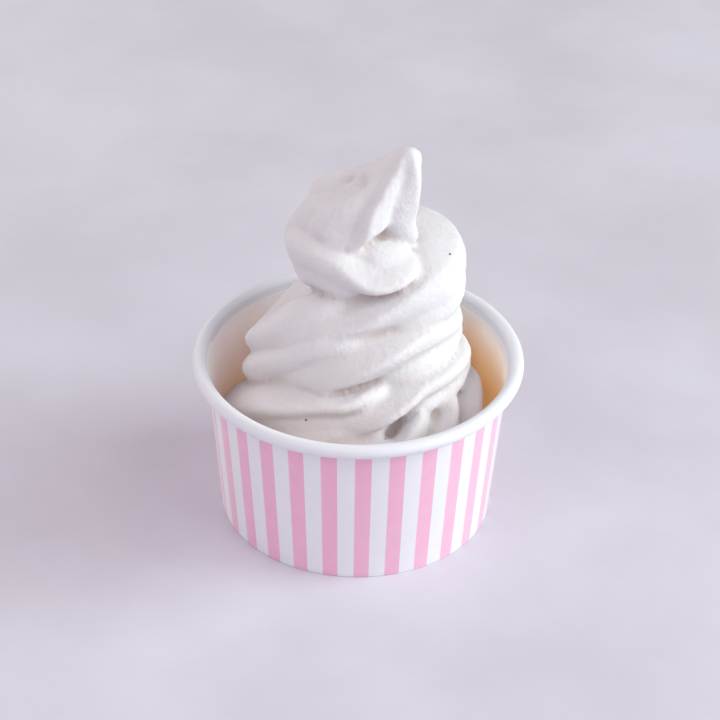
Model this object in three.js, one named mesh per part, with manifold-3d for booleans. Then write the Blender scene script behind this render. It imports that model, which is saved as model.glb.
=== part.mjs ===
import * as THREE from 'three';
import { mergeVertices } from 'three/addons/utils/BufferGeometryUtils.js';
import Module from 'manifold-3d';

const wasm = await Module();
wasm.setup();

// Paper cup, in millimetres
const CUP_HEIGHT = 47;
const RIM_RADIUS = 44;
const CURL_RADIUS = 1.88;
const WALL_TOP_RADIUS = 40.2;
const WALL_FOOT_RADIUS = 36.4;
const WALL_THICKNESS = 0.6;
const HEM_HEIGHT = 3;
const HEM_THICKNESS = 1.8;
const BASE_THICKNESS = 0.8;
const GAP = 0.3;
const CUP_STEPS = 64;
const CURL_STEPS = 10;
const CURL_FROM = -120;
const CURL_SWEEP = 300;

// The swirl leans back a little as it rises
const LEAN = 0.2;
const LEAN_FROM = 20;

// Four soft lobes run along the rope. Their crests climb one lobe where each turn crosses the front,
// and sink at the lip of the last: middle and reach of the crossing in degrees, lobes climbed
const LOBES = 4;
const LOBE_EDGE = 0.55;
const CREST_ANGLE = 32;
const CREST_SWAY = 14;
const CREST_HIGH_AT = 345;
const CROSSINGS = [
  [285, 50, 1],
  [267, 100, 1],
  [249, 150, 1],
  [270, 40, -0.55],
];
const TURNS_BEGIN = 90;

// Depth of the lobes along the rope: turn angle, share of the half width
const DEPTHS = [
  [90, 0.15],
  [180, 0.15],
  [235, 0.34],
  [325, 0.34],
  [360, 0.14],
  [450, 0.2],
  [520, 0.14],
  [565, 0.16],
  [605, 0.34],
  [685, 0.34],
  [720, 0.14],
  [800, 0.2],
  [870, 0.1],
  [945, 0.12],
  [980, 0.34],
  [1005, 0.34],
  [1050, 0.14],
  [1260, 0.12],
  [1330, 0.22],
  [1440, 0.15],
];

// Stations of the laid rope: turn angle, centre radius, height, half width, reach up, reach down
const ROPE = [
  [90, 20, 22, 13, 8, 10],
  [150, 22.5, 25, 13.5, 8, 10],
  [180, 23, 31, 13.5, 8, 10],
  [225, 22, 41.5, 13.5, 7.5, 10],
  [270, 21, 45.3, 13.5, 5.2, 9.5],
  [315, 20.3, 44.8, 13, 6.5, 6],
  [360, 19.5, 42.5, 12, 6, 6],
  [450, 19, 36, 13, 8.5, 11],
  [510, 18, 39.5, 13.3, 7.6, 8],
  [540, 17.5, 45.3, 14, 7.4, 10.5],
  [560, 17.5, 50.2, 13.7, 7.6, 10.5],
  [580, 17.6, 53.4, 13.2, 8, 10.5],
  [600, 17.8, 55.2, 13.1, 8.6, 11.5],
  [630, 18, 56, 13, 9.2, 12.5],
  [680, 17, 55, 13.3, 8.6, 10.5],
  [720, 16, 52, 13.2, 7, 7.5],
  [810, 15.5, 51, 13.5, 9.5, 12],
  [845, 16.2, 48.3, 13.5, 7.5, 10],
  [870, 16.7, 46, 13.4, 5.5, 8.5],
  [900, 17, 50, 13.5, 5.5, 8.5],
  [920, 16.3, 55.2, 13.3, 6, 9],
  [940, 15.5, 59.2, 13, 7, 10],
  [960, 14.4, 61.9, 12.7, 7.6, 11],
  [990, 13, 63.5, 12.5, 8.3, 11.5],
  [1080, 15, 67.5, 15, 12, 11],
  [1170, 11, 67.5, 13, 11, 14.5],
  [1215, 9.5, 71.5, 12.3, 9.5, 15],
  [1260, 8.5, 75, 11.8, 8.5, 13.5],
  [1305, 9.3, 77, 13, 8.5, 11],
  [1350, 10.5, 75, 14, 7.2, 7.2],
  [1385, 10.5, 75.5, 13, 5.6, 5.6],
  [1415, 8, 75, 9, 5, 5],
  [1440, 5, 74, 6, 4, 4],
];
const ROPE_POINTS_PER_LOBE = 8;
const PLAIN_STEP = 11;
const CROSSING_STEP = 6;
const LENGTH_RINGS = 12;

// Each coil droops outwards at the left, by this slope, until the rope is free of the next coil
const DROOPS = [0.35, 0.6, 0.3];
const DROOP_AT = 180;
const DROOP_REACH = 85;
const FREE_FROM = 1000;
const FREE_OVER = 80;
const CLIMB_STRETCH = 0.8;
const AXIS_GAP = 0.4;

// The coil above presses the top of the rope smooth, from and to these section angles
const PRESSED_FROM = 48;
const PRESSED_TO = 180;
const PRESSED_OVER = 30;
const PRESSED_FACET = 0.5;

// Stations of the first coil, which fills the cup; its lobes fold steeply at the front right
const FILL = [
  [-250, 21, 15, 14, 9, 9],
  [-180, 22, 17, 14, 11, 11],
  [-90, 24.8, 31, 13.2, 12.8, 12.5],
  [-45, 24.3, 31.5, 13, 12.5, 12],
  [0, 23, 30, 12.3, 11, 13],
  [90, 21, 20, 13, 10, 10],
  [150, 21, 17, 13, 9, 9],
];
const FILL_LOBES = 5;
const FILL_LOBE_EDGE = 0.15;
const FILL_DEPTH = 0.32;
const FILL_CREST_ANGLE = 8;
const FILL_CREST_CLIMB = 0.4;
const FILL_CREST_FROM = -90;
const FOLD_MIDDLE = -46;
const FOLD_REACH = 75;
const FOLD_CLIMB = 140;
const GAP_AT = -71;
const GAP_REACH = 4.5;
const GAP_DEPTH = 0.33;
const FILL_POINTS_PER_LOBE = 7;
const FOLD_STEP = 4;
const PLUG_TOP = 12;

// The pulled-up top: height, centre x, centre y, half width
const TOP = [
  [68, -2, 9, 9],
  [74, -2, 9.5, 15],
  [80, -2, 10, 17],
  [83, -1.6, 10, 16],
  [86, -0.6, 10, 15],
  [91, 2.2, 9.5, 13.2],
  [96, 7, 9, 9.3],
  [100, 10.3, 8.5, 6],
  [103, 11.8, 8, 3.8],
  [105, 12.5, 7.8, 1.4],
];
const TOP_SIDES = 60;
const TOP_STEP = 1.5;

// Folds round the top: angle from the main ridge, share of the half width
const FOLDS = [
  [-170, 0.86],
  [-130, 0.93],
  [-100, 1],
  [-76, 0.86],
  [-46, 0.97],
  [-14, 0.84],
  [0, 1.02],
  [34, 0.8],
  [64, 1.04],
  [105, 0.86],
  [150, 0.98],
  [190, 0.86],
];
const RIDGE_ANGLE = -80;
const RIDGE_BENDS_FROM = 83;
const RIDGE_BEND = 0.11;

// Dents in the top: from height and angle, to height and angle, half width, depth
const DENTS = [
  [92.5, -205, 94.5, -150, 3.4, 0.42],
  [77.5, -157, 78.5, -150, 1.6, 0.15],
  [81.5, -140, 82, -128, 2, 0.11],
  [75, -128, 76, -116, 1.6, 0.11],
];
const DENT_DEGREE = 0.26;

// Hollow between the top and the lip of the last coil
const HOLLOW = { height: 77.5, reach: 6.5, angle: -57, spread: 27, depth: 0.34 };

// Rounded shoulder behind the top: centre and half sizes
const SHOULDER = { at: [-3, 15, 85.8], half: [10.8, 8, 6.9], steps: 24 };

// Core inside the coils: radius, height
const CORE = [
  [16, 8],
  [16, 40],
  [15, 54],
  [13, 62],
  [9, 74],
];
const CORE_SIDES = 24;

// Colour and roughness of each piece
const FINISHES = {
  cup_wall: [0xebc6da, 0.6],
  cup_base: [0xe9e2de, 0.7],
  soft_serve: [0xebe9ef, 0.75],
};
const MERGE_WITHIN = 1e-4;

const rad = THREE.MathUtils.degToRad;
const clamp = THREE.MathUtils.clamp;
const soften = (x) => THREE.MathUtils.smoothstep(x, 0, 1);

// Straight value between rows of a table
function straight(table, x) {
  const last = table.length - 1;
  let i = 0;
  while (i < last - 1 && x > table[i + 1][0]) {
    i += 1;
  }
  const [from, to] = [table[i], table[i + 1]];
  return THREE.MathUtils.mapLinear(x, from[0], to[0], from[1], to[1]);
}

// Smooth value between stations, at position x in the first column
function between(stations, x, column) {
  const last = stations.length - 1;
  let i = 0;
  while (i < last - 1 && x > stations[i + 1][0]) {
    i += 1;
  }
  const slope = (k) => {
    const a = stations[Math.max(k - 1, 0)];
    const b = stations[Math.min(k + 1, last)];
    return (b[column] - a[column]) / (b[0] - a[0]);
  };
  const from = stations[i];
  const to = stations[i + 1];
  const h = to[0] - from[0];
  const t = (x - from[0]) / h;
  const start = (2 * t ** 3 - 3 * t ** 2 + 1) * from[column];
  const end = (3 * t ** 2 - 2 * t ** 3) * to[column];
  const leave = (t ** 3 - 2 * t ** 2 + t) * h * slope(i);
  const arrive = (t ** 3 - t ** 2) * h * slope(i + 1);
  return start + end + leave + arrive;
}

// Closed skin over rings of points, with a centre point at each end
function skin(rings, firstCentre, lastCentre) {
  const sides = rings[0].length;
  const points = rings.flat();
  const first = points.length;
  points.push(firstCentre, lastCentre);
  const faces = [];
  for (let i = 0; i < rings.length - 1; i += 1) {
    for (let j = 0; j < sides; j += 1) {
      const k = (j + 1) % sides;
      const a = i * sides + j;
      const b = i * sides + k;
      faces.push(a, b, b + sides, a, b + sides, a + sides);
    }
  }
  const top = (rings.length - 1) * sides;
  for (let j = 0; j < sides; j += 1) {
    const k = (j + 1) % sides;
    faces.push(first, k, j, first + 1, top + j, top + k);
  }
  return solid(points, faces);
}

// Solid from points and triangles, turned so that it faces out
function solid(points, faces) {
  const data = {
    numProp: 3,
    vertProperties: new Float32Array(points.flat()),
    triVerts: new Uint32Array(faces),
  };
  const made = new wasm.Manifold(new wasm.Mesh(data));
  if (made.volume() > 0) {
    return made;
  }
  for (let i = 0; i < faces.length; i += 3) {
    [faces[i], faces[i + 1]] = [faces[i + 1], faces[i]];
  }
  data.triVerts = new Uint32Array(faces);
  return new wasm.Manifold(new wasm.Mesh(data));
}

const leanAt = (z) => Math.max(z - LEAN_FROM, 0) * LEAN;

// Coil that a turn angle is on, and how far along the crossing it is there
function crossingAt(turn) {
  const count = Math.min(Math.floor((turn - TURNS_BEGIN) / 360), CROSSINGS.length - 1);
  const [middle, reach, climb] = CROSSINGS[count];
  return { count, climb, along: (turn - 360 * count - middle) / reach + 0.5 };
}

// Angle of the main crest of the laid rope in its section, in degrees
function laidCrest(turn) {
  const { count, climb, along } = crossingAt(turn);
  const sway = CREST_SWAY * Math.cos(rad(turn - CREST_HIGH_AT));
  return CREST_ANGLE + sway + (360 / LOBES) * (count + climb * soften(along));
}

const foldAt = (turn) => (turn - FOLD_MIDDLE) / FOLD_REACH + 0.5;

function fillCrest(turn) {
  const climbed = FILL_CREST_CLIMB * (turn - FILL_CREST_FROM);
  return FILL_CREST_ANGLE + climbed + FOLD_CLIMB * soften(foldAt(turn));
}

const within = (share) => share > 0 && share < 1;

// Lobes of the first coil, with a deep gap between two folds
function fillDepth(turn) {
  return FILL_DEPTH + GAP_DEPTH * Math.exp(-(((turn - GAP_AT) / GAP_REACH) ** 2));
}

const held = (turn) => 1 - soften((turn - FREE_FROM) / FREE_OVER);

// Slope by which a coil droops outwards at a turn angle
function droopAt(turn) {
  const coil = clamp(Math.floor(turn / 360), 0, DROOPS.length - 1);
  const round = ((turn % 360) + 360) % 360;
  const side = clamp((round - DROOP_AT) / DROOP_REACH, -1, 1);
  return DROOPS[coil] * 0.5 * (1 + Math.cos(Math.PI * side)) * held(turn);
}

// Share of the section's size at a place round it, counted from the main crest
function lobeShare(look, turn, share, psi) {
  const half = Math.PI * look.lobes * share;
  const round = 1 - Math.abs(Math.cos(half));
  const sharp = Math.abs(Math.sin(half));
  const facet = round + look.edge * (sharp - round);
  const degrees = THREE.MathUtils.radToDeg(psi) % 360;
  const rise = soften((degrees - PRESSED_FROM) / PRESSED_OVER);
  const fall = soften((PRESSED_TO - degrees) / PRESSED_OVER);
  const pressed = look.pressed ? held(turn) * rise * fall : 0;
  return 1 - look.depth(turn) * (facet + pressed * (PRESSED_FACET - facet));
}

// One ring of the rope in the upright plane at a turn angle
function ropeRing(stations, turn, look) {
  const [radius, height, width, up, down] = [1, 2, 3, 4, 5].map((k) => between(stations, turn, k));
  const climb = between(stations, turn + 1, 2) - between(stations, turn - 1, 2);
  const slope = clamp(climb / rad(2) / radius, -1, 1);
  const stretch = Math.sqrt(1 + CLIMB_STRETCH * slope ** 2);
  const inward = Math.min(width, radius - AXIS_GAP);
  const droop = droopAt(turn);
  const angle = rad(turn);
  const place = (r, z) => [r * Math.cos(angle), r * Math.sin(angle) + leanAt(z), z];
  const ring = [];
  for (let j = 0; j < look.sides; j += 1) {
    const share = j / look.sides;
    const psi = rad(look.crest(turn)) + 2 * Math.PI * share;
    const q = lobeShare(look, turn, share, psi);
    const reach = Math.cos(psi) < 0 ? inward : width;
    const tall = (Math.sin(psi) < 0 ? down : up) * stretch;
    const out = reach * q * Math.cos(psi);
    ring.push(place(radius + out, height + tall * q * Math.sin(psi) - droop * out));
  }
  return { ring, centre: place(radius, height) };
}

// Turn angles of the rings, closer together where the crests cross
function ringTurns(stations, look) {
  const finish = stations[stations.length - 1][0];
  const turns = [stations[0][0]];
  while (turns[turns.length - 1] < finish) {
    const turn = turns[turns.length - 1];
    const next = turn + (look.crossing(turn) ? look.crossingStep : PLAIN_STEP);
    turns.push(next > finish - CROSSING_STEP ? finish : next);
  }
  return turns;
}

// The rope in lengths of about a third of a turn, joined end to end
function rope(stations, look) {
  const rings = ringTurns(stations, look).map((turn) => ropeRing(stations, turn, look));
  const lengths = [];
  for (let i = 0; i < rings.length - 1; i += LENGTH_RINGS) {
    const part = rings.slice(i, i + LENGTH_RINGS + 1);
    const ends = [part[0].centre, part[part.length - 1].centre];
    lengths.push(skin(part.map((r) => r.ring), ends[0], ends[1]));
  }
  return lengths;
}

const apart = (a, b) => ((((a - b + 180) % 360) + 360) % 360) - 180;

const ridgeAngle = (z) => RIDGE_ANGLE - RIDGE_BEND * Math.max(z - RIDGE_BENDS_FROM, 0) ** 2;

// Depth of the deepest dent at a height and angle
function dentAt(z, angle) {
  const depths = DENTS.map(([z0, a0, z1, a1, half, depth]) => {
    const run = new THREE.Vector2(z1 - z0, (a1 - a0) * DENT_DEGREE);
    const off = new THREE.Vector2(z - z0, apart(angle, a0) * DENT_DEGREE);
    const along = clamp(off.dot(run) / run.lengthSq(), 0, 1);
    const far = off.addScaledVector(run, -along).length();
    return depth * Math.exp(-((far / half) ** 2));
  });
  return Math.max(...depths);
}

// Width share of the top at a height and angle, with its folds, dents and hollow
function topShare(z, angle) {
  const first = FOLDS[0][0];
  const off = ((((angle - ridgeAngle(z) - first) % 360) + 360) % 360) + first;
  const up = Math.exp(-(((z - HOLLOW.height) / HOLLOW.reach) ** 4));
  const round = Math.exp(-((apart(angle, HOLLOW.angle) / HOLLOW.spread) ** 4));
  return straight(FOLDS, off) - dentAt(z, angle) - HOLLOW.depth * up * round;
}

function pulledTop() {
  const start = TOP[0][0];
  const finish = TOP[TOP.length - 1][0];
  const count = Math.round((finish - start) / TOP_STEP);
  const rings = [];
  const centres = [];
  for (let i = 0; i <= count; i += 1) {
    const z = start + ((finish - start) * i) / count;
    const [x0, y0, width] = [1, 2, 3].map((k) => between(TOP, z, k));
    centres.push([x0, y0, z]);
    const ring = [];
    for (let j = 0; j < TOP_SIDES; j += 1) {
      const angle = ridgeAngle(z) + (360 * j) / TOP_SIDES;
      const r = width * topShare(z, angle);
      ring.push([x0 + r * Math.cos(rad(angle)), y0 + r * Math.sin(rad(angle)), z]);
    }
    rings.push(ring);
  }
  return skin(rings, centres[0], centres[count]);
}

function shoulder() {
  const ball = new THREE.SphereGeometry(1, SHOULDER.steps, SHOULDER.steps / 2);
  ball.scale(...SHOULDER.half);
  ball.translate(...SHOULDER.at);
  return tidy(ball);
}

// Round solid from radius and height pairs, following the lean
function stack(profile, sides, leans) {
  const y0 = (z) => (leans ? leanAt(z) : 0);
  const rings = profile.map(([r, z]) => {
    const ring = [];
    for (let j = 0; j < sides; j += 1) {
      const a = (2 * Math.PI * j) / sides;
      ring.push([r * Math.cos(a), r * Math.sin(a) + y0(z), z]);
    }
    return ring;
  });
  const first = profile[0][1];
  const last = profile[profile.length - 1][1];
  return skin(rings, [0, y0(first), first], [0, y0(last), last]);
}

const wallTopHeight = CUP_HEIGHT - 2 * CURL_RADIUS;
const wallSlope = (WALL_TOP_RADIUS - WALL_FOOT_RADIUS) / wallTopHeight;
const wallOuter = (z) => WALL_FOOT_RADIUS + wallSlope * z;
const wallInner = (z) => wallOuter(z) - WALL_THICKNESS;
const baseUnder = HEM_HEIGHT + GAP;
const baseTop = baseUnder + BASE_THICKNESS;
const contentsFoot = baseTop + GAP;

// Side wall with the rolled rim at the top and the folded hem at the foot
function cupWall() {
  const centreRadius = RIM_RADIUS - CURL_RADIUS;
  const centreHeight = CUP_HEIGHT - CURL_RADIUS;
  const profile = [];
  profile.push(new THREE.Vector2(WALL_FOOT_RADIUS - HEM_THICKNESS, 0));
  profile.push(new THREE.Vector2(WALL_FOOT_RADIUS, 0));
  profile.push(new THREE.Vector2(wallOuter(wallTopHeight), wallTopHeight));
  for (let i = 0; i <= CURL_STEPS; i += 1) {
    const a = rad(CURL_FROM + (CURL_SWEEP * i) / CURL_STEPS);
    const r = centreRadius + CURL_RADIUS * Math.cos(a);
    profile.push(new THREE.Vector2(r, centreHeight + CURL_RADIUS * Math.sin(a)));
  }
  profile.push(new THREE.Vector2(wallInner(wallTopHeight), wallTopHeight));
  profile.push(new THREE.Vector2(wallInner(HEM_HEIGHT), HEM_HEIGHT));
  profile.push(new THREE.Vector2(WALL_FOOT_RADIUS - HEM_THICKNESS, HEM_HEIGHT));
  profile.push(profile[0].clone());
  const turned = new THREE.LatheGeometry(profile, CUP_STEPS);
  turned.rotateX(Math.PI / 2);
  return tidy(turned);
}

// Geometry with shared corners, as one closed solid
function tidy(geometry) {
  const bare = geometry.index ? geometry.toNonIndexed() : geometry;
  bare.deleteAttribute('normal');
  bare.deleteAttribute('uv');
  const merged = mergeVertices(bare, MERGE_WITHIN);
  const at = merged.getAttribute('position');
  const points = [];
  for (let i = 0; i < at.count; i += 1) {
    points.push([at.getX(i), at.getY(i), at.getZ(i)]);
  }
  const faces = [];
  const index = merged.index.array;
  for (let i = 0; i < index.length; i += 3) {
    const [a, b, c] = [index[i], index[i + 1], index[i + 2]];
    if (a !== b && b !== c && c !== a) {
      faces.push(a, b, c);
    }
  }
  return solid(points, faces);
}

function cupBase() {
  const radius = wallInner(baseUnder) - GAP;
  return stack([[radius, baseUnder], [radius, baseTop]], CUP_STEPS, false);
}

// The laid coils, the pulled-up top, its shoulder and the core, joined into one swirl
function softServe() {
  const laid = {
    lobes: LOBES,
    sides: LOBES * ROPE_POINTS_PER_LOBE,
    edge: LOBE_EDGE,
    pressed: true,
    crest: laidCrest,
    crossing: (turn) => within(crossingAt(turn).along),
    crossingStep: CROSSING_STEP,
    depth: (turn) => straight(DEPTHS, turn),
  };
  const fill = {
    lobes: FILL_LOBES,
    sides: FILL_LOBES * FILL_POINTS_PER_LOBE,
    edge: FILL_LOBE_EDGE,
    pressed: false,
    crest: fillCrest,
    crossing: (turn) => within(foldAt(turn)),
    crossingStep: FOLD_STEP,
    depth: fillDepth,
  };
  const plug = [
    [wallInner(contentsFoot) - GAP, contentsFoot],
    [wallInner(PLUG_TOP) - GAP, PLUG_TOP],
  ];
  const pieces = [
    stack(plug, CUP_STEPS, false),
    stack(CORE, CORE_SIDES, true),
    ...rope(FILL, fill),
    ...rope(ROPE, laid),
    pulledTop(),
    shoulder(),
  ];
  const whole = pieces.reduce((a, b) => a.add(b));
  return whole.decompose().reduce((a, b) => (a.volume() > b.volume() ? a : b));
}

// Named mesh with its own finish
function piece(name, shape) {
  const mesh = shape.getMesh();
  const [color, roughness] = FINISHES[name];
  const geometry = new THREE.BufferGeometry();
  const points = new THREE.BufferAttribute(new Float32Array(mesh.vertProperties), 3);
  geometry.setAttribute('position', points);
  geometry.setIndex(new THREE.BufferAttribute(new Uint32Array(mesh.triVerts), 1));
  geometry.computeVertexNormals();
  const finish = new THREE.MeshStandardMaterial({ color, roughness, metalness: 0 });
  const made = new THREE.Mesh(geometry, finish);
  made.name = name;
  return made;
}

const group = new THREE.Group();
group.name = 'ice_cream_cup';
group.add(piece('cup_wall', cupWall()));
group.add(piece('cup_base', cupBase()));
group.add(piece('soft_serve', softServe()));

export default group;
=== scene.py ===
# %% [markdown]
# A striped paper cup of soft serve ice cream.
# The real thing is one sheet of coated paper rolled into a cup, with its top edge curled over
# and a disc for a bottom, and a thick rope of ice cream laid into it in rising turns.
# We load the measured model first, because every piece below has to sit where that model says.

# %% Load the measured model
import math
import bpy
from mathutils import Matrix, Vector
from mathutils import noise


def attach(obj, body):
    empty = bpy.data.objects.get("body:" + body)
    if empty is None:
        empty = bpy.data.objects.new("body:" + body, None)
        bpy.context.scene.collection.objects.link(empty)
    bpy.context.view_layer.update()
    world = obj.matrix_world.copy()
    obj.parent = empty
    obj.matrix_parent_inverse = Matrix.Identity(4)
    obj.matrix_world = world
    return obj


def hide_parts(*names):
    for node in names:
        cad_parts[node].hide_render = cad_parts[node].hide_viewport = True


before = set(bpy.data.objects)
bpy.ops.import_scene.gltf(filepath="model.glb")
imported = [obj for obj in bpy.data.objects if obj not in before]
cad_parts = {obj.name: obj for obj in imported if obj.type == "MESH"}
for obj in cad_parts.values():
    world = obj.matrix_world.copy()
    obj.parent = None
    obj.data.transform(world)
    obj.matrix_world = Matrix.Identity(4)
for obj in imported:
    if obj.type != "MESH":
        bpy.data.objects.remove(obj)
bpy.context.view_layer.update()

MM = 0.001

# %% [markdown]
# A few habits are worth a helper. An operator works on everything that is selected, so we always
# clear the selection before we add something. A piece is finished when its doubled points are
# merged, its open ends filled and its faces turned outwards. And each piece is handed to the model
# in the same way: it rides on the one body and stands for a solid.

# %% Small helpers
MERGE_WITHIN = 0.005 * MM


def clear_selection():
    if bpy.context.object and bpy.context.object.mode != "OBJECT":
        bpy.ops.object.mode_set(mode="OBJECT")
    bpy.ops.object.select_all(action="DESELECT")


def only(piece):
    clear_selection()
    piece.select_set(True)
    bpy.context.view_layer.objects.active = piece


def apply_modifier(piece, kind, **settings):
    only(piece)
    modifier = piece.modifiers.new(kind.lower(), kind)
    for name, value in settings.items():
        setattr(modifier, name, value)
    bpy.ops.object.modifier_apply(modifier=modifier.name)


def close_and_face_out(piece):
    only(piece)
    bpy.ops.object.mode_set(mode="EDIT")
    bpy.ops.mesh.select_all(action="SELECT")
    bpy.ops.mesh.remove_doubles(threshold=MERGE_WITHIN)
    bpy.ops.mesh.fill_holes(sides=0)
    bpy.ops.mesh.select_all(action="SELECT")
    bpy.ops.mesh.normals_make_consistent(inside=False)
    bpy.ops.object.mode_set(mode="OBJECT")


def hand_over(piece, node):
    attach(piece, "root")
    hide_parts(node)
    print(piece.name, "stands for", node, "with", len(piece.data.polygons), "faces")


def clamp(x, low=0.0, high=1.0):
    return max(low, min(high, x))


def smooth_step(x):
    x = clamp(x)
    return x * x * (3 - 2 * x)


print("helpers ready")

# %% [markdown]
# The cup's sizes come from the photo's own proportions, with the rim set to a real tub's width.
# They are the same values that the solid model was made from, here in metres.

# %% Sizes of the cup
CUP_HEIGHT = 47 * MM
RIM_RADIUS = 44 * MM
CURL_RADIUS = 1.88 * MM
WALL_TOP_RADIUS = 40.2 * MM
WALL_FOOT_RADIUS = 36.4 * MM
WALL_THICKNESS = 0.6 * MM
HEM_HEIGHT = 3 * MM
HEM_THICKNESS = 1.8 * MM
BASE_UNDER = 3.3 * MM
BASE_TOP = 4.1 * MM
GAP = 0.3 * MM
WALL_TOP = CUP_HEIGHT - 2 * CURL_RADIUS
WALL_SLOPE = (WALL_TOP_RADIUS - WALL_FOOT_RADIUS) / WALL_TOP


def wall_outer(z):
    return WALL_FOOT_RADIUS + WALL_SLOPE * z


def wall_inner(z):
    return wall_outer(z) - WALL_THICKNESS


print("wall leans out by", round(math.degrees(math.atan(WALL_SLOPE)), 1), "degrees")

# %% [markdown]
# Every finish below is a small node tree. A shader node is added, its plain numbers are set on
# its own sockets, and only what changes over the surface is wired in. A few helpers keep that
# short: one fills a socket with a number or a wire, and the others each add one kind of node.

# %% Helpers for finishes
def fill_socket(tree, socket, value):
    if isinstance(value, bpy.types.NodeSocket):
        tree.links.new(value, socket)
    else:
        socket.default_value = value


def add_node(tree, kind, inputs, **settings):
    node = tree.nodes.new(kind)
    for name, value in settings.items():
        setattr(node, name, value)
    for name, value in inputs.items():
        fill_socket(tree, node.inputs[name], value)
    return node


def start_finish(name):
    finish = bpy.data.materials.new(name)
    finish.use_nodes = True
    tree = finish.node_tree
    shader = tree.nodes["Principled BSDF"]
    point = add_node(tree, "ShaderNodeTexCoord", {}).outputs["Object"]
    return finish, tree, shader, point


def sums(tree, operation, first, second=0.0):
    return add_node(tree, "ShaderNodeMath", {0: first, 1: second}, operation=operation).outputs[0]


def fine_noise(tree, point, scale, detail=3.0, roughness=0.55):
    inputs = {"Vector": point, "Scale": scale, "Detail": detail, "Roughness": roughness}
    return add_node(tree, "ShaderNodeTexNoise", inputs).outputs["Fac"]


def ramp(tree, value, low, high):
    inputs = {"Value": value, "From Min": low, "From Max": high}
    return add_node(tree, "ShaderNodeMapRange", inputs, interpolation_type="SMOOTHSTEP").outputs[0]


def blend(tree, share, first, second):
    node = add_node(tree, "ShaderNodeMix", {}, data_type="RGBA")
    share_in, first_in, second_in = node.inputs[0], node.inputs[6], node.inputs[7]
    for socket, value in ((share_in, share), (first_in, first), (second_in, second)):
        fill_socket(tree, socket, value)
    return node.outputs[2]


def rgb(red, green, blue):
    return (red, green, blue, 1.0)


def bump(tree, shader, height, strength, distance):
    node = add_node(tree, "ShaderNodeBump", {"Height": height, "Strength": strength, "Distance": distance})
    tree.links.new(node.outputs[0], shader.inputs["Normal"])


print("finish helpers ready")

# %% [markdown]
# The outside of the cup is white coated paper printed with pink stripes. The stripes follow the
# straight lines of the cone, so each keeps one angle from foot to rim, and an angle worked out
# from the point's own x and y is all that the print needs. An image would do too, but this
# stays sharp at any distance. Faint mottling of the ink, a little fibre and the coating's sheen
# keep it from being flat.

# %% Printed paper
STRIPES = 28
PINK_SHARE = 0.48
EDGE_BLUR = 0.012
FIRST_STRIPE = math.radians(-0.5)
INK = rgb(0.88, 0.43, 0.61), rgb(0.94, 0.53, 0.71)
COATING = rgb(0.84, 0.84, 0.89), rgb(0.88, 0.88, 0.92)


def printed_paper():
    finish, tree, shader, point = start_finish("pink striped paper")
    axes = add_node(tree, "ShaderNodeSeparateXYZ", {"Vector": point}).outputs
    forward = sums(tree, "MULTIPLY", axes[1], -1.0)
    angle = sums(tree, "ARCTAN2", axes[0], forward)
    turned = sums(tree, "ADD", angle, 2 * math.pi - FIRST_STRIPE)
    place = sums(tree, "FRACT", sums(tree, "MULTIPLY", turned, STRIPES / (2 * math.pi)))
    left_edge = ramp(tree, place, 0.0, EDGE_BLUR)
    right_edge = ramp(tree, place, PINK_SHARE, PINK_SHARE + EDGE_BLUR)
    pink = sums(tree, "SUBTRACT", left_edge, right_edge)
    mottle = fine_noise(tree, point, scale=260.0, detail=4.0)
    ink = blend(tree, mottle, *INK)
    white = blend(tree, mottle, *COATING)
    tree.links.new(blend(tree, pink, white, ink), shader.inputs["Base Color"])
    shader.inputs["Roughness"].default_value = 0.5
    shader.inputs["Sheen Weight"].default_value = 0.85
    shader.inputs["Sheen Roughness"].default_value = 0.4
    bump(tree, shader, fine_noise(tree, point, scale=1500.0), strength=0.12, distance=0.1 * MM)
    return finish


print("stripe every", round(360 / STRIPES, 2), "degrees")

# %% [markdown]
# The curled rim is the same paper left white. Inside, the paper is white at the rim. Deeper down its
# colour is painted warmer, which is painted bounce light from light bouncing between paper and ice
# cream many times. On the window's side it is painted more orange still, which is painted glow
# from light coming through the thin paper. Ramps on the point's height and side paint both into
# the colour, so they hold from every view, and some real light is also let into the paper itself.

# %% Plain paper, rim and inside
WARM_FROM, WARM_TO = 45 * MM, 20 * MM
WARM_WANDER = 3 * MM
WARM_SIDE, WARM_SHIFT = 25 * MM, -8 * MM
RIM_WHITE = rgb(0.80, 0.81, 0.86), rgb(0.84, 0.85, 0.89)
INSIDE_WHITE = rgb(0.98, 0.96, 0.97)
# Painted bounce light deeper down and painted glow on the window's side of the inside paper.
PAINTED_WARM_LEFT, PAINTED_WARM_RIGHT = rgb(0.96, 0.79, 0.71), rgb(1.0, 0.66, 0.52)


def rim_paper():
    finish, tree, shader, point = start_finish("white rim paper")
    mottle = fine_noise(tree, point, scale=300.0, detail=4.0)
    tree.links.new(blend(tree, mottle, *RIM_WHITE), shader.inputs["Base Color"])
    shader.inputs["Roughness"].default_value = 0.45
    bump(tree, shader, fine_noise(tree, point, scale=1400.0), strength=0.1, distance=0.1 * MM)
    return finish


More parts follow.
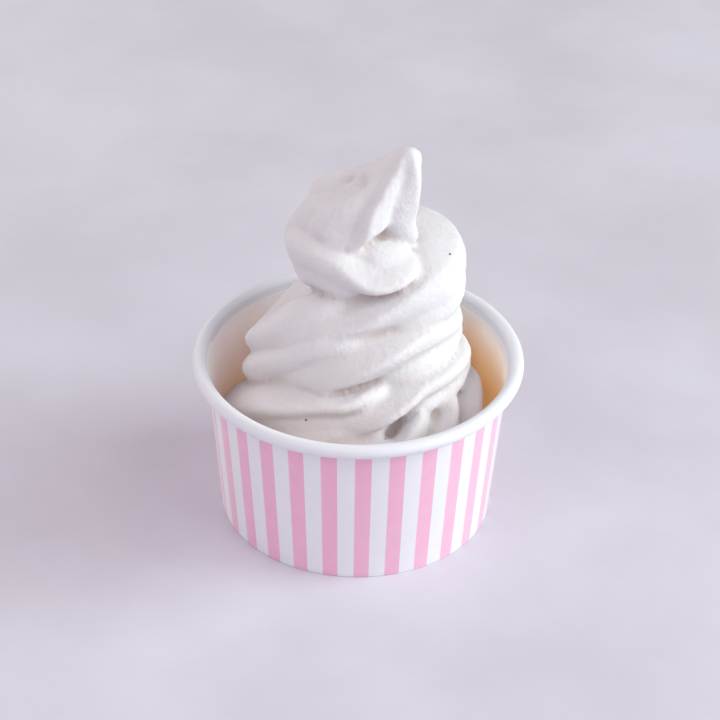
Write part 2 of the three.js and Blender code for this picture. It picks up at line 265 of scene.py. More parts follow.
def inside_paper():
    finish, tree, shader, point = start_finish("inside paper")
    axes = add_node(tree, "ShaderNodeSeparateXYZ", {"Vector": point}).outputs
    mottle = fine_noise(tree, point, scale=120.0, detail=4.0)
    side = ramp(tree, axes[0], -WARM_SIDE, WARM_SIDE)
    height = sums(tree, "ADD", axes[2], sums(tree, "MULTIPLY", mottle, WARM_WANDER))
    height = sums(tree, "ADD", height, sums(tree, "MULTIPLY", side, WARM_SHIFT))
    depth = ramp(tree, height, WARM_FROM, WARM_TO)
    # painted warm light: the colour deeper down and on the window's side is painted bounce light and glow
    painted_warm_light = blend(tree, side, PAINTED_WARM_LEFT, PAINTED_WARM_RIGHT)
    colour = blend(tree, depth, INSIDE_WHITE, painted_warm_light)
    tree.links.new(colour, shader.inputs["Base Color"])
    shader.inputs["Roughness"].default_value = 0.55
    shader.inputs["Subsurface Weight"].default_value = 0.9
    shader.inputs["Subsurface Radius"].default_value = (1.0, 0.45, 0.3)
    shader.inputs["Subsurface Scale"].default_value = 4.0 * MM
    bump(tree, shader, fine_noise(tree, point, scale=1200.0), strength=0.1, distance=0.1 * MM)
    return finish


print("plain papers ready")

# %% [markdown]
# The side of the cup is one sheet that starts at the folded hem, runs up the outside, rolls
# over at the rim and comes down the inside. We begin with a circle and extrude it ring by ring,
# scaling each new ring to its radius, as you would by hand. A spin of a drawn outline would give
# the same shape; extruding lets the loop close on itself and needs no drawing.

# %% Side of the cup
RING_POINTS = 224
HEM_ROUND = 0.4 * MM
OUTSIDE_HEIGHTS = (0.5, 2, 6, 12, 18, 24, 30, 36, 40, 42)
INSIDE_HEIGHTS = (43, 41, 37, 32, 26, 20, 14, 8, 4)
CURL_FROM, CURL_SWEEP, CURL_STEPS = -125, 305, 25
LIP_HEIGHT, LIP_OUT = 44.2 * MM, 0.12 * MM


def cup_outline():
    centre_radius = RIM_RADIUS - CURL_RADIUS
    centre_height = CUP_HEIGHT - CURL_RADIUS
    hem_radius = WALL_FOOT_RADIUS - HEM_THICKNESS
    outline = [(hem_radius, HEM_ROUND), (hem_radius + HEM_ROUND, 0.0)]
    outline += [(WALL_FOOT_RADIUS - HEM_ROUND, 0.0), (WALL_FOOT_RADIUS - HEM_ROUND / 4, HEM_ROUND / 4)]
    outline += [(wall_outer(z * MM), z * MM) for z in OUTSIDE_HEIGHTS]
    outline += [(wall_outer(WALL_TOP), WALL_TOP)]
    for step in range(CURL_STEPS + 1):
        turn = math.radians(CURL_FROM + CURL_SWEEP * step / CURL_STEPS)
        radius = centre_radius + CURL_RADIUS * math.cos(turn)
        outline.append((radius, centre_height + CURL_RADIUS * math.sin(turn)))
    outline += [(wall_inner(LIP_HEIGHT) + LIP_OUT, LIP_HEIGHT)]
    outline += [(wall_inner(z * MM), z * MM) for z in INSIDE_HEIGHTS]
    outline += [(wall_inner(HEM_HEIGHT), HEM_HEIGHT), (hem_radius, HEM_HEIGHT)]
    return outline


def extrude_rings(name, outline):
    clear_selection()
    radius, height = outline[0]
    bpy.ops.mesh.primitive_circle_add(vertices=RING_POINTS, radius=radius, location=(0, 0, height))
    piece = bpy.context.object
    piece.name = name
    bpy.ops.object.transform_apply(location=True, rotation=True, scale=True)
    bpy.ops.object.mode_set(mode="EDIT")
    bpy.ops.mesh.select_all(action="SELECT")
    for new_radius, new_height in outline[1:]:
        bpy.ops.mesh.extrude_edges_move(TRANSFORM_OT_translate={"value": (0, 0, new_height - height)})
        share = new_radius / radius
        bpy.ops.transform.resize(value=(share, share, 1), center_override=(0, 0, new_height))
        radius, height = new_radius, new_height
    bpy.ops.object.mode_set(mode="OBJECT")
    return piece


outline = cup_outline()
paper_side = extrude_rings("paper_side", outline + outline[:1])
close_and_face_out(paper_side)
print("paper side has", len(paper_side.data.vertices), "points")

# %% [markdown]
# Rolled paper is never a perfect cone. The sheet overlaps itself at a glued seam, which shows as
# a low upright step inside the cup and a slight bulge in the curl, and the wall wanders by a
# tenth of a millimetre. Moving the points by their angle is simpler here than any modifier.

# %% Glued seam and slight waviness
SEAM_ANGLE = math.radians(38)
SEAM_HALF = math.radians(5)
SEAM_EDGE = math.radians(0.8)
SEAM_INSIDE, SEAM_CURL = -0.2 * MM, 0.12 * MM
WANDERS = ((0.1 * MM, 3, 0.7), (0.05 * MM, 7, 2.0))
WANDER_FROM, WANDER_OVER = 5 * MM, 20 * MM


def seam_share(angle):
    away = abs((angle - SEAM_ANGLE + math.pi) % (2 * math.pi) - math.pi)
    return clamp((SEAM_HALF - away) / SEAM_EDGE)


def is_inside(radius, height):
    return radius < wall_outer(height) - 0.5 * WALL_THICKNESS


for point in paper_side.data.vertices:
    x, y, z = point.co
    radius = math.hypot(x, y)
    angle = math.atan2(y, x)
    wander = sum(size * math.sin(waves * angle + start) for size, waves, start in WANDERS)
    step = 0.0
    if is_inside(radius, z) and z > HEM_HEIGHT:
        step = SEAM_INSIDE
    elif z > WALL_TOP:
        step = SEAM_CURL
    radius += min(wander, 0.0) * clamp((z - WANDER_FROM) / WANDER_OVER) + step * seam_share(angle)
    radius = min(radius, RIM_RADIUS)
    point.co = (radius * math.cos(angle), radius * math.sin(angle), z)
print("seam at", round(math.degrees(SEAM_ANGLE)), "degrees")

# %% [markdown]
# The three papers go on by place. Each face knows its centre, so the faces of the roll get the
# white rim paper, the faces on the inner side the inside paper and the rest the print.

# %% Papers on the side of the cup
RIM_FROM = WALL_TOP + 0.05 * MM
RIM_DEPTH = 0.35 * MM
PRINT, RIM, INSIDE = 0, 1, 2
for finish in (printed_paper(), rim_paper(), inside_paper()):
    paper_side.data.materials.append(finish)
for face in paper_side.data.polygons:
    radius = math.hypot(face.center.x, face.center.y)
    height = face.center.z
    face.material_index = PRINT
    if height > RIM_FROM and radius > wall_outer(height) - RIM_DEPTH:
        face.material_index = RIM
    elif is_inside(radius, height) and height > HEM_ROUND:
        face.material_index = INSIDE
only(paper_side)
bpy.ops.object.shade_smooth_by_angle(angle=math.radians(50))
hand_over(paper_side, "cup_wall")

# %% [markdown]
# The bottom is a plain disc of the same paper that rests just above the folded hem. It hardly
# shows, so a filled circle with a little thickness and a bevelled edge is enough.

# %% Bottom of the cup
BASE_RADIUS = wall_inner(BASE_UNDER) - GAP
BASE_POINTS = 128
clear_selection()
bpy.ops.mesh.primitive_circle_add(
    vertices=BASE_POINTS, radius=BASE_RADIUS, fill_type="NGON", location=(0, 0, BASE_UNDER))
paper_bottom = bpy.context.object
paper_bottom.name = "paper_bottom"
bpy.ops.object.transform_apply(location=True, rotation=True, scale=True)
apply_modifier(paper_bottom, "SOLIDIFY", thickness=BASE_TOP - BASE_UNDER, offset=1.0)
apply_modifier(paper_bottom, "BEVEL", width=0.15 * MM, segments=2, limit_method="ANGLE")
close_and_face_out(paper_bottom)
paper_bottom.data.materials.append(inside_paper())
hand_over(paper_bottom, "cup_base")

# %% [markdown]
# Now the ice cream. A star-shaped nozzle lays a thick rope with soft lobes, and because the
# nozzle doesn't turn while the rope goes round, the lobes climb across each coil as it is laid.
# We could bevel a spiral curve, but then the lobes and the flattened section would turn together.
# So each rope is a grid rolled into a tube: one way along the spiral, the other round the rope.
# The stations below say, for a turn angle, how far out and how high the middle of the rope is,
# then its half width and how far it reaches up and down. The first coil fills the cup and has
# stations of its own. The whole swirl leans back a little as it rises.

# %% Path of the rope
LEAN = 0.2
LEAN_FROM = 20
ROPE = [
    (90, 20, 22, 13, 8, 10), (150, 22.5, 25, 13.5, 8, 10), (180, 23, 31, 13.5, 8, 10),
    (225, 22, 41.5, 13.5, 7.5, 10), (270, 21, 45.3, 13.5, 5.2, 9.5), (315, 20.3, 44.8, 13, 6.5, 6),
    (360, 19.5, 42.5, 12, 6, 6), (450, 19, 36, 13, 8.5, 11), (510, 18, 39.5, 13.3, 7.6, 8),
    (540, 17.5, 45.3, 14, 7.4, 10.5), (560, 17.5, 50.2, 13.7, 7.6, 10.5), (580, 17.6, 53.4, 13.2, 8, 10.5),
    (600, 17.8, 55.2, 13.1, 8.6, 11.5), (630, 18, 56, 13, 9.2, 12.5), (680, 17, 55, 13.3, 8.6, 10.5),
    (720, 16, 52, 13.2, 7, 7.5), (810, 15.5, 51, 13.5, 9.5, 12), (845, 16.2, 48.3, 13.5, 7.5, 10),
    (870, 16.7, 46, 13.4, 5.5, 8.5), (900, 17, 50, 13.5, 5.5, 8.5), (920, 16.3, 55.2, 13.3, 6, 9),
    (940, 15.5, 59.2, 13, 7, 10), (960, 14.4, 61.9, 12.7, 7.6, 11), (990, 13, 63.5, 12.5, 8.3, 11.5),
    (1080, 15, 67.5, 15, 12, 11), (1170, 11, 67.5, 13, 11, 14.5), (1215, 9.5, 71.5, 12.3, 9.5, 15),
    (1260, 8.5, 75, 11.8, 8.5, 13.5), (1305, 9.3, 77, 13, 8.5, 11), (1350, 10.5, 75, 14, 7.2, 7.2),
    (1385, 10.5, 75.5, 13, 5.6, 5.6), (1415, 8, 75, 9, 5, 5), (1440, 5, 74, 6, 4, 4),
]
FILL = [
    (-250, 21, 15, 14, 9, 9), (-180, 22, 17, 14, 11, 11), (-90, 24.8, 31, 13.2, 12.8, 12.5),
    (-45, 24.3, 31.5, 13, 12.5, 12), (0, 23, 30, 12.3, 11, 13), (90, 21, 20, 13, 10, 10),
    (150, 21, 17, 13, 9, 9),
]


def between(stations, x, column):
    last = len(stations) - 1
    i = 0
    while i < last - 1 and x > stations[i + 1][0]:
        i += 1

    def slope(k):
        a, b = stations[max(k - 1, 0)], stations[min(k + 1, last)]
        return (b[column] - a[column]) / (b[0] - a[0])

    start, end = stations[i], stations[i + 1]
    span = end[0] - start[0]
    t = (x - start[0]) / span
    return ((2 * t**3 - 3 * t**2 + 1) * start[column] + (3 * t**2 - 2 * t**3) * end[column]
            + (t**3 - 2 * t**2 + t) * span * slope(i) + (t**3 - t**2) * span * slope(i + 1))


def straight(table, x):
    for (x0, y0), (x1, y1) in zip(table, table[1:]):
        if x <= x1:
            return y0 + (y1 - y0) * (x - x0) / (x1 - x0)
    return table[-1][1]


def lean_at(z):
    return max(z - LEAN_FROM, 0.0) * LEAN


print("rope makes", round((ROPE[-1][0] - ROPE[0][0]) / 360, 1), "turns over the first coil")

# %% [markdown]
# The lobes are where the swirl gets its life. Four run along the laid rope. For most of a turn
# their crests keep their height, and where the rope crosses the front each climbs to the place of
# the next, which draws the slanting folds; at the lip of the last coil they sink again. For each
# coil we give the turn angle in the middle of the crossing, how far it reaches, and how many places
# the crests climb. Depth comes and goes along the rope, so it is given at turn angles. The first
# coil has five lobes that fold over steeply at the front right, with a deep gap between two of them.

# %% Crests and depths of the lobes
LOBES, FILL_LOBES = 4, 5
LOBE_EDGE, FILL_LOBE_EDGE = 0.55, 0.15
CREST_ANGLE, CREST_SWAY, CREST_HIGH_AT = 32, 14, 345
TURNS_BEGIN, FRONT = 90, 270
CROSSINGS = [(285, 50, 1), (267, 100, 1), (249, 150, 1), (270, 40, -0.55)]
DEPTHS = [
    (90, 0.15), (180, 0.15), (235, 0.34), (325, 0.34), (360, 0.14), (450, 0.20), (520, 0.14),
    (565, 0.16), (605, 0.34), (685, 0.34), (720, 0.14), (800, 0.20), (870, 0.10), (945, 0.12),
    (980, 0.34), (1005, 0.34), (1050, 0.14), (1260, 0.12), (1330, 0.22), (1440, 0.15),
]
FILL_CREST_ANGLE, FILL_CREST_CLIMB, FILL_CREST_FROM = 8, 0.4, -90
FOLD_MIDDLE, FOLD_REACH, FOLD_CLIMB = -46, 75, 140
FILL_DEPTH = 0.32
GAP_AT, GAP_REACH, GAP_DEPTH = -71, 4.5, 0.33


def laid_crest(turn):
    count = min(int((turn - TURNS_BEGIN) // 360), len(CROSSINGS) - 1)
    middle, reach, climb = CROSSINGS[count]
    crossed = climb * smooth_step((turn - 360 * count - middle) / reach + 0.5)
    sway = CREST_SWAY * math.cos(math.radians(turn - CREST_HIGH_AT))
    return CREST_ANGLE + sway + 360 / LOBES * (count + crossed)


def laid_depth(turn):
    return straight(DEPTHS, turn)


def fill_crest(turn):
    folded = FOLD_CLIMB * smooth_step((turn - FOLD_MIDDLE) / FOLD_REACH + 0.5)
    return FILL_CREST_ANGLE + FILL_CREST_CLIMB * (turn - FILL_CREST_FROM) + folded


def fill_depth(turn):
    return FILL_DEPTH + GAP_DEPTH * math.exp(-(((turn - GAP_AT) / GAP_REACH) ** 2))


crests = [round(laid_crest(FRONT + 360 * coil)) for coil in range(len(CROSSINGS))]
print("crest at the front of each coil", crests)

# %% [markdown]
# One ring of the rope is a section in the upright plane at its turn angle. It is stretched where
# the rope climbs, and it droops outwards at the left. Its outline is drawn in between the
# lobes, except on top, where the coil above has pressed it smooth, until the rope comes free.

# %% One ring of the rope
DROOPS = (0.35, 0.6, 0.3)
DROOP_AT, DROOP_REACH = 180, 85
FREE_FROM, FREE_OVER = 1000, 80
CLIMB_STRETCH, CLIMB_STEP = 0.8, 1
AXIS_GAP = 0.4
PRESSED_FROM, PRESSED_TO, PRESSED_OVER = 48, 180, 30
PRESSED_FACET = 0.5


def held(turn):
    return 1.0 - smooth_step((turn - FREE_FROM) / FREE_OVER)


def droop_at(turn):
    coil = int(clamp(turn // 360, 0, len(DROOPS) - 1))
    side = clamp((turn % 360 - DROOP_AT) / DROOP_REACH, -1, 1)
    return DROOPS[coil] * 0.5 * (1 + math.cos(math.pi * side)) * held(turn)


def lobe_share(look, depth, pressing, share, psi):
    half = math.pi * look["lobes"] * share
    rounded, sharp = 1 - abs(math.cos(half)), abs(math.sin(half))
    facet = rounded + look["edge"] * (sharp - rounded)
    degrees = math.degrees(psi) % 360
    rise = smooth_step((degrees - PRESSED_FROM) / PRESSED_OVER)
    fall = smooth_step((PRESSED_TO - degrees) / PRESSED_OVER)
    return 1 - depth * (facet + pressing * rise * fall * (PRESSED_FACET - facet))


def rope_ring(stations, turn, look):
    radius, height, width, up, down = [between(stations, turn, k) for k in (1, 2, 3, 4, 5)]
    climb = between(stations, turn + CLIMB_STEP, 2) - between(stations, turn - CLIMB_STEP, 2)
    slope = clamp(climb / math.radians(2 * CLIMB_STEP) / radius, -1, 1)
    stretch = math.sqrt(1 + CLIMB_STRETCH * slope**2)
    inward = min(width, radius - AXIS_GAP)
    droop = droop_at(turn)
    angle = math.radians(turn)
    crest, depth = math.radians(look["crest"](turn)), look["depth"](turn)
    pressing = held(turn) if look["pressed"] else 0.0

    def place(share):
        psi = crest + 2 * math.pi * share
        q = lobe_share(look, depth, pressing, share, psi)
        out = (inward if math.cos(psi) < 0 else width) * q * math.cos(psi)
        tall = (down if math.sin(psi) < 0 else up) * stretch
        z = height + tall * q * math.sin(psi) - droop * out
        r = radius + out
        return Vector((r * math.cos(angle), r * math.sin(angle) + lean_at(z), z)) * MM

    return place


print("coils droop by", DROOPS)

# %% [markdown]
# With the rings known, a flat grid is added, each of its points is moved to the ring and share
# that its column and row stand for, and its two long edges are merged, so it becomes a tube.

# %% Roll a grid into a rope
ROPE_STEP = 2
ROPE_POINTS = 144


def rolled_grid(name, along, around, place):
    clear_selection()
    bpy.ops.mesh.primitive_grid_add(x_subdivisions=along, y_subdivisions=around, size=1)
    tube = bpy.context.object
    tube.name = name
    for point in tube.data.vertices:
        column = round((point.co.x + 0.5) * along)
        row = round((point.co.y + 0.5) * around)
        point.co = place(column, row / around)
    close_and_face_out(tube)
    return tube


def rope(name, stations, look):
    start, finish = stations[0][0], stations[-1][0]
    along = round((finish - start) / ROPE_STEP)
    turns = [start + (finish - start) * i / along for i in range(along + 1)]
    rings = [rope_ring(stations, turn, look) for turn in turns]
    return rolled_grid(name, along, ROPE_POINTS, lambda i, share: rings[i](share))


laid = {"lobes": LOBES, "edge": LOBE_EDGE, "pressed": True}
laid.update(crest=laid_crest, depth=laid_depth)
fill = {"lobes": FILL_LOBES, "edge": FILL_LOBE_EDGE, "pressed": False}
fill.update(crest=fill_crest, depth=fill_depth)
laid_rope = rope("laid_rope", ROPE, laid)
first_coil = rope("first_coil", FILL, fill)
print("laid rope", len(laid_rope.data.vertices), "points, first coil", len(first_coil.data.vertices))

# %% [markdown]
# When the cup is pulled away the last of the rope stretches into a bent tip. It is a stack of
# rings whose centre wanders to the right: for a height we give the centre and the half width. Folds
# run up it, given as an angle from the main ridge and a share of the width, and they turn together
# as the tip bends. A few dents are pressed in, each along a short line with a height and an angle
# at either end, a half width and a depth. The top is hollowed where it overhangs the last coil.

# %% Pulled-up top
TOP = [
    (68, -2, 9, 9), (74, -2, 9.5, 15), (80, -2, 10, 17), (83, -1.6, 10, 16), (86, -0.6, 10, 15),
    (91, 2.2, 9.5, 13.2), (96, 7, 9, 9.3), (100, 10.3, 8.5, 6), (103, 11.8, 8, 3.8), (105, 12.5, 7.8, 1.4),
]
TOP_RINGS, TOP_POINTS = 74, 180
FOLDS = [
    (-170, 0.86), (-130, 0.93), (-100, 1.0), (-76, 0.86), (-46, 0.97), (-14, 0.84), (0, 1.02),
    (34, 0.80), (64, 1.04), (105, 0.86), (150, 0.98), (190, 0.86),
]
RIDGE_ANGLE, RIDGE_BEND, RIDGE_BENDS_FROM = -80, 0.11, 83
DENTS = [
    (92.5, -205, 94.5, -150, 3.4, 0.42), (77.5, -157, 78.5, -150, 1.6, 0.15),
    (81.5, -140, 82, -128, 2.0, 0.11), (75, -128, 76, -116, 1.6, 0.11),
]
DENT_DEGREE = 0.26
HOLLOW_HEIGHT, HOLLOW_REACH, HOLLOW_ANGLE, HOLLOW_SPREAD, HOLLOW_DEPTH = 77.5, 6.5, -57, 27, 0.34


def apart(a, b):
    return (a - b + 180) % 360 - 180


def ridge_angle(z):
    return RIDGE_ANGLE - RIDGE_BEND * max(z - RIDGE_BENDS_FROM, 0.0) ** 2


def dent_at(z, angle):
    cut = 0.0
    for z0, a0, z1, a1, half, depth in DENTS:
        run = Vector((z1 - z0, (a1 - a0) * DENT_DEGREE))
        off = Vector((z - z0, apart(angle, a0) * DENT_DEGREE))
        far = (off - run * clamp(off.dot(run) / run.dot(run))).length
        cut = max(cut, depth * math.exp(-((far / half) ** 2)))
    return cut


def top_share(z, angle):
    first = FOLDS[0][0]
    off = (angle - ridge_angle(z) - first) % 360 + first
    up = math.exp(-(((z - HOLLOW_HEIGHT) / HOLLOW_REACH) ** 4))
    aside = math.exp(-((apart(angle, HOLLOW_ANGLE) / HOLLOW_SPREAD) ** 4))
    return straight(FOLDS, off) - dent_at(z, angle) - HOLLOW_DEPTH * up * aside


def top_point(ring, share):
    z = TOP[0][0] + (TOP[-1][0] - TOP[0][0]) * ring / TOP_RINGS
    x0, y0, width = [between(TOP, z, k) for k in (1, 2, 3)]
    r = width * top_share(z, 360 * share)
    angle = 2 * math.pi * share
    return Vector((x0 + r * math.cos(angle), y0 + r * math.sin(angle), z)) * MM


pulled_top = rolled_grid("pulled_top", TOP_RINGS, TOP_POINTS, top_point)
print("pulled-up top reaches", round(max(v.co.z for v in pulled_top.data.vertices) / MM, 1), "mm")

# %% [markdown]
# Behind the tip the rope bulges into a rounded shoulder. It has no edges of its own, so a sphere
# stretched to its three half widths is enough: the remesh below melts it into its neighbours.

# %% Shoulder
SHOULDER_AT = Vector((-3, 15, 85.8)) * MM
SHOULDER_HALF = Vector((10.8, 8, 6.9)) * MM
clear_selection()
bpy.ops.mesh.primitive_uv_sphere_add(segments=64, ring_count=32, radius=1, location=SHOULDER_AT)
shoulder = bpy.context.object
shoulder.name = "shoulder"
shoulder.scale = SHOULDER_HALF
bpy.ops.object.transform_apply(location=True, rotation=True, scale=True)
print("shoulder is", [round(2 * half / MM, 1) for half in SHOULDER_HALF], "mm in size")

# %% [markdown]
# Under all this the ice cream is solid: a core inside the coils and a plug that fills the foot of
# the cup. They are only there so that no hollow is left, so two plain extruded stacks will do.

# %% Core and plug
CORE = [(16, 8), (16, 40), (15, 54), (13, 62), (9, 74)]
FOOT = (BASE_TOP + GAP) / MM
PLUG_HEIGHTS = (FOOT, 8, 12)


def stack(name, rings):
    piece = extrude_rings(name, [(radius * MM, height * MM) for radius, height in rings])
    for point in piece.data.vertices:
        point.co.y += lean_at(point.co.z / MM) * MM
    close_and_face_out(piece)
    return piece


core = stack("core", CORE)
plug = stack("plug", [((wall_inner(z * MM) - GAP) / MM, z) for z in PLUG_HEIGHTS])
print("plug from", round(FOOT, 1), "to", PLUG_HEIGHTS[-1], "mm")

# %% [markdown]
# The ropes, the top and the fill are joined and remeshed into one skin, which turns overlaps into
# clean creases. The remesh works in small cubes, and a nearly level crease would be cut into steps
# by their level faces. So we stand the swirl askew, on a corner of the cubes, while it is remeshed,
# and turn it back afterwards. A light smooth rounds the creases as soft ice cream settles.

# %% One swirl
VOXEL, ROUNDS = 0.66 * MM, 5
ASKEW = Vector((0, 0, 1)).rotation_difference(Vector((1, 1, 1)))


def turn_by(piece, rotation):
    only(piece)
    piece.rotation_euler = rotation.to_euler()
    bpy.ops.object.transform_apply(location=True, rotation=True, scale=True)


clear_selection()
for piece in (laid_rope, first_coil, pulled_top, shoulder, core, plug):
    piece.select_set(True)
bpy.context.view_layer.objects.active = laid_rope
bpy.ops.object.join()
swirl = bpy.context.object
swirl.name = "soft_serve_swirl"
turn_by(swirl, ASKEW)
apply_modifier(swirl, "REMESH", mode="VOXEL", voxel_size=VOXEL)
turn_by(swirl, ASKEW.inverted())
apply_modifier(swirl, "SMOOTH", factor=0.5, iterations=ROUNDS)
print("swirl has", len(swirl.data.polygons), "faces")

# %% [markdown]
# Smoothing leaves the folds a little too tame, so next we find out what is a ridge and what is a
# crease. For that the swirl is compared with a much softer copy of itself: each point stands out
# from the copy or lies deeper by some distance along its normal. The distances are then eased,
# by giving each point the mean of itself and its neighbours, so that single points don't stick out.

# %% Ridges and creases
FOLD_ROUNDS = 24


def softened(piece, rounds):
    only(piece)
    bpy.ops.object.duplicate()
    copy = bpy.context.object
    apply_modifier(copy, "SMOOTH", factor=0.5, iterations=rounds)
    places = [point.co.copy() for point in copy.data.vertices]
    bpy.ops.object.delete()
    return places


def standing_out(piece, rounds):
    soft_places = softened(piece, rounds)
    normals = [point.normal.copy() for point in piece.data.vertices]
    points = piece.data.vertices
    outs = [(p.co - soft).dot(n) / MM for p, soft, n in zip(points, soft_places, normals)]
    return normals, outs


def eased(piece, values, rounds):
    ends = [tuple(edge.vertices) for edge in piece.data.edges]
    for _ in range(rounds):
        totals = list(values)
        counts = [1] * len(values)
        for a, b in ends:
            totals[a] += values[b]
            totals[b] += values[a]
            counts[a] += 1
            counts[b] += 1
        values = [total / count for total, count in zip(totals, counts)]
    return values


normals, outs = standing_out(swirl, FOLD_ROUNDS)
print("ridges stand out by", round(max(outs), 2), "mm before they are crisped")

# %% [markdown]
# Now a point that stands out is pushed further out and a point that lies deep is pushed in, as an
# unsharp mask does for a picture. This fades away at the foot and at the tip, which have to keep
# their place. What lies deep is also kept on the mesh as a named value, so that the finish can
# paint shade into the creases as a darker colour.

# %% Crisp folds
EVEN_ROUNDS, SHADE_ROUNDS = 5, 3
CRISP = 2.2
CRISP_IN, CRISP_OUT = -0.5, 0.8
FOOT_FADE = (14, 20)
TIP_FADE = (104, 98)


def fade(z, limits):
    none, full = limits
    return clamp((z - none) / (full - none))


outs = eased(swirl, outs, EVEN_ROUNDS)
for point, normal, out in zip(swirl.data.vertices, normals, outs):
    z = point.co.z / MM
    push = clamp(CRISP * out, CRISP_IN, CRISP_OUT) * fade(z, FOOT_FADE) * fade(z, TIP_FADE)
    point.co += normal * push * MM
apply_modifier(swirl, "SMOOTH", factor=0.4, iterations=1)
normals, outs = standing_out(swirl, FOLD_ROUNDS)
# The value kept here drives painted shade in the creases of the finish.
hollow = swirl.data.attributes.new("hollow", "FLOAT", "POINT")
hollow.data.foreach_set("value", [-out for out in eased(swirl, outs, SHADE_ROUNDS)])
print("folds stand out by", round(max(outs), 2), "and sink by", round(-min(outs), 2), "mm")

# %% [markdown]
# Fresh soft serve isn't smooth: it sags in slow lumps and its skin is roughened by tiny ice
# crystals. Three sizes of noise along each point's normal give the lumps and the icy skin. The
# normals are read before anything moves, because each change would make Blender work them out again.

# %% Lumps and icy skin
LUMPS = ((0.25, 10.0), (0.12, 4.0), (0.08, 1.3))
SINK = 0.1
normals = [point.normal.copy() for point in swirl.data.vertices]
for point, normal in zip(swirl.data.vertices, normals):
    place = point.co / MM
    lump = sum(size * noise.noise(place / length) for size, length in LUMPS)
    point.co += normal * (lump - SINK) * fade(place.z, FOOT_FADE) * MM
only(swirl)
bpy.ops.object.shade_smooth()
print("highest point", round(max(v.co.z for v in swirl.data.vertices) / MM, 1), "mm")

# %% [markdown]
# The camera looks down at the cup from the front with a long lens, as in the photo. Its place and
# direction were found by fitting the rim, the foot and the stripes of the cup.

# %% Camera
DISTANCE = 792 * MM
RAISED, PITCH, YAW, ROLL = [math.radians(a) for a in (36.99, -34.325, 0.048, 0.953)]
FOCAL_LENGTH, SENSOR_WIDTH = 144.3, 36
NEAREST = 10 * MM
lens = bpy.data.cameras.new("camera")
lens.lens = FOCAL_LENGTH
lens.sensor_width = SENSOR_WIDTH
lens.clip_start = NEAREST
camera = bpy.data.objects.new("camera", lens)
bpy.context.scene.collection.objects.link(camera)
bpy.context.scene.camera = camera
camera.location = (0, -DISTANCE * math.cos(RAISED), DISTANCE * math.sin(RAISED))
aim = Vector((math.sin(YAW) * math.cos(PITCH), math.cos(YAW) * math.cos(PITCH), math.sin(PITCH)))
side = aim.cross(Vector((0, 0, 1))).normalized()
above = side.cross(aim)
across = side * math.cos(ROLL) + above * math.sin(ROLL)
upward = above * math.cos(ROLL) - side * math.sin(ROLL)
camera.rotation_euler = Matrix((across, upward, -aim)).transposed().to_euler()
print("camera at", [round(v, 3) for v in camera.location])

# %% [markdown]
# Three dark specks lie in the ice cream. We could guess their places in the model, but the camera
# is known by now, so a ray from it through each speck's pixel in the photo finds the place where
# it meets the swirl.

# %% Places of the specks
PICTURE_SIZE = 720
SPECK_PIXELS = ((450, 254), (306, 420), (385.6, 439))


def places_seen(piece, pixels):
    bpy.context.view_layer.update()
    pixels_long = lens.lens / lens.sensor_width * PICTURE_SIZE
    places = []
    for x, y in pixels:
        right, down = x - PICTURE_SIZE / 2, y - PICTURE_SIZE / 2
        ray = aim * pixels_long + across * right - upward * down
        hit, place, _, _ = piece.ray_cast(camera.location, ray.normalized())
        if hit:
            places.append(place)
    return places


specks = places_seen(swirl, SPECK_PIXELS)
print("specks at", [[round(v / MM, 1) for v in place] for place in specks])

# %% [markdown]
# The finish is a matte creamy white. A little light goes into it and comes out again, so shadows
# stay soft. Low in the cup on the side away from the window the colour is painted a touch warmer
# and darker, which is painted bounce light and shade. In the creases it is painted darker by the
# value that the mesh carries, which is painted shade. A small distance from the place of each
# speck makes its spot. Fine noise bumps the surface like frost.

# %% Ice cream finish
SPECK_EDGE, SPECK_CORE = 0.45 * MM, 0.2 * MM
# Painted bounce light and shade: low in the cup and away from the window the cream is made warmer and
# darker.
LOW_FROM, LOW_TO = 58 * MM, 28 * MM
AWAY_FROM, AWAY_TO = 14 * MM, -8 * MM
PAINTED_BOUNCE_SHARE = 0.55
# Painted shade in the creases: how deep a point lies sets how much darker it is made.
CREASE_FROM, CREASE_TO, CREASE_SHADE_SHARE = 0.08, 0.55, 0.8
CREAM = rgb(0.74, 0.72, 0.74), rgb(0.80, 0.78, 0.80)
# The first tint is painted bounce light and shade low in the cup, the second painted shade in the creases.
PAINTED_BOUNCE_TINT, PAINTED_CREASE_SHADE_TINT = rgb(0.75, 0.66, 0.62), rgb(0.50, 0.39, 0.36)
SPECK_TINT = rgb(0.10, 0.05, 0.03)


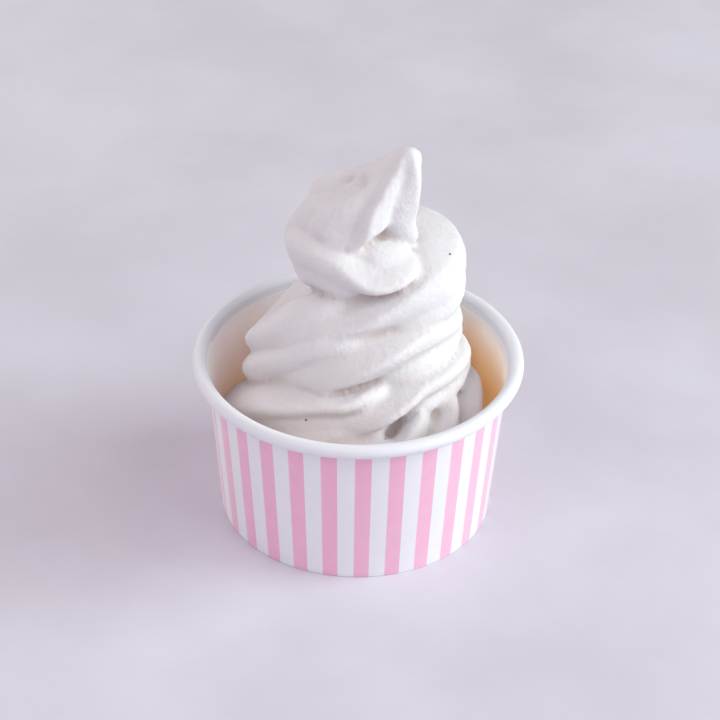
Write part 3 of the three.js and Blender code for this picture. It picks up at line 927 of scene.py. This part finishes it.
def ice_cream(specks):
    finish, tree, shader, point = start_finish("soft serve")
    axes = add_node(tree, "ShaderNodeSeparateXYZ", {"Vector": point}).outputs
    mottle = fine_noise(tree, point, scale=140.0, detail=5.0)
    colour = blend(tree, mottle, *CREAM)
    # painted bounce light and shade, low in the cup on the side away from the window
    low = sums(tree, "MULTIPLY", ramp(tree, axes[2], LOW_FROM, LOW_TO), PAINTED_BOUNCE_SHARE)
    painted_warm_light = sums(tree, "MULTIPLY", low, ramp(tree, axes[0], AWAY_FROM, AWAY_TO))
    colour = blend(tree, painted_warm_light, colour, PAINTED_BOUNCE_TINT)
    # painted shade: the creases are made darker by the value that the mesh carries
    hollow = add_node(tree, "ShaderNodeAttribute", {}, attribute_name="hollow").outputs["Fac"]
    painted_crease_shade = sums(tree, "MULTIPLY", ramp(tree, hollow, CREASE_FROM, CREASE_TO), CREASE_SHADE_SHARE)
    colour = blend(tree, painted_crease_shade, colour, PAINTED_CREASE_SHADE_TINT)
    for speck in specks:
        inputs = {0: point, 1: speck}
        away = add_node(tree, "ShaderNodeVectorMath", inputs, operation="DISTANCE").outputs["Value"]
        colour = blend(tree, ramp(tree, away, SPECK_EDGE, SPECK_CORE), colour, SPECK_TINT)
    tree.links.new(colour, shader.inputs["Base Color"])
    shader.inputs["Roughness"].default_value = 0.68
    shader.inputs["Subsurface Weight"].default_value = 0.4
    shader.inputs["Subsurface Radius"].default_value = (1.0, 0.85, 0.8)
    shader.inputs["Subsurface Scale"].default_value = 1.2 * MM
    grains = fine_noise(tree, point, scale=1100.0, detail=4.0, roughness=0.65)
    frost = sums(tree, "ADD", grains, fine_noise(tree, point, scale=420.0))
    bump(tree, shader, frost, strength=0.8, distance=0.3 * MM)
    return finish


swirl.data.materials.clear()
swirl.data.materials.append(ice_cream(specks))
hand_over(swirl, "soft_serve")

# %% [markdown]
# The stage is a plain pale table top, wide enough that its edge never shows, with a faint cloudy
# mottling like painted plaster.

# %% Table top
TABLE_SIZE = 30
CLOUD_FROM, CLOUD_TO = 0.3, 0.7
PLASTER = rgb(0.615, 0.59, 0.655), rgb(0.69, 0.675, 0.745)
clear_selection()
bpy.ops.mesh.primitive_plane_add(size=TABLE_SIZE, location=(0, 0, 0))
floor = bpy.context.object
floor.name = "table_top"


def table_finish():
    finish, tree, shader, point = start_finish("pale table")
    cloud = fine_noise(tree, point, scale=12.0, detail=4.0)
    plaster = blend(tree, ramp(tree, cloud, CLOUD_FROM, CLOUD_TO), *PLASTER)
    tree.links.new(plaster, shader.inputs["Base Color"])
    shader.inputs["Roughness"].default_value = 0.7
    return finish


floor.data.materials.append(table_finish())
print("table top is", TABLE_SIZE, "metres wide")

# %% [markdown]
# The light comes from a low soft window far to the right, helped by pale cards: one beside the
# window, one high over the cup that lights the folds inside the rim, one near the left, one at the
# far left and a broad one behind. For each we give its place, the point it is aimed at, its width,
# its power and its colour. A pale pinkish room fills the shadows. The plain view transform keeps
# whites as white as the photo has them.

# %% Light
LIGHTS = {
    "window": ((1.36, 0.02, 0.64), (0, 0, 0.06), 0.8, 17.0, (0.88, 1.0, 0.97)),
    "right card": ((0.65, -0.55, 0.45), (0, 0, 0.05), 0.6, 2.2, (0.96, 0.99, 1.0)),
    "over card": ((0.35, -0.30, 0.75), (0, 0, 0.05), 0.4, 0.9, (0.96, 0.99, 1.0)),
    "near card": ((-0.35, -0.40, 0.45), (-0.1, -0.1, 0), 0.5, 1.1, (1.0, 0.97, 1.0)),
    "left card": ((-0.80, 0.0, 0.25), (0, 0, 0.05), 0.6, 0.8, (0.97, 0.98, 1.0)),
    "back card": ((-0.5, 0.7, 0.5), (0, 0, 0.05), 0.8, 2.7, (1.0, 0.97, 0.94)),
}
ROOM_COLOUR, ROOM_STRENGTH = rgb(1.0, 0.86, 0.94), 0.32


def soft_light(name, place, target, size, power, colour):
    lamp = bpy.data.lights.new(name, "AREA")
    lamp.size = size
    lamp.energy = power
    lamp.color = colour
    holder = bpy.data.objects.new(name, lamp)
    bpy.context.scene.collection.objects.link(holder)
    holder.location = place
    holder.rotation_euler = (Vector(target) - Vector(place)).to_track_quat("-Z", "Y").to_euler()


for name, (place, target, size, power, colour) in LIGHTS.items():
    soft_light(name, place, target, size, power, colour)
room = bpy.data.worlds.new("pale room")
bpy.context.scene.world = room
room.use_nodes = True
air = room.node_tree.nodes["Background"]
air.inputs["Color"].default_value = ROOM_COLOUR
air.inputs["Strength"].default_value = ROOM_STRENGTH
bpy.context.scene.view_settings.view_transform = "Standard"
print("lights set:", ", ".join(LIGHTS))
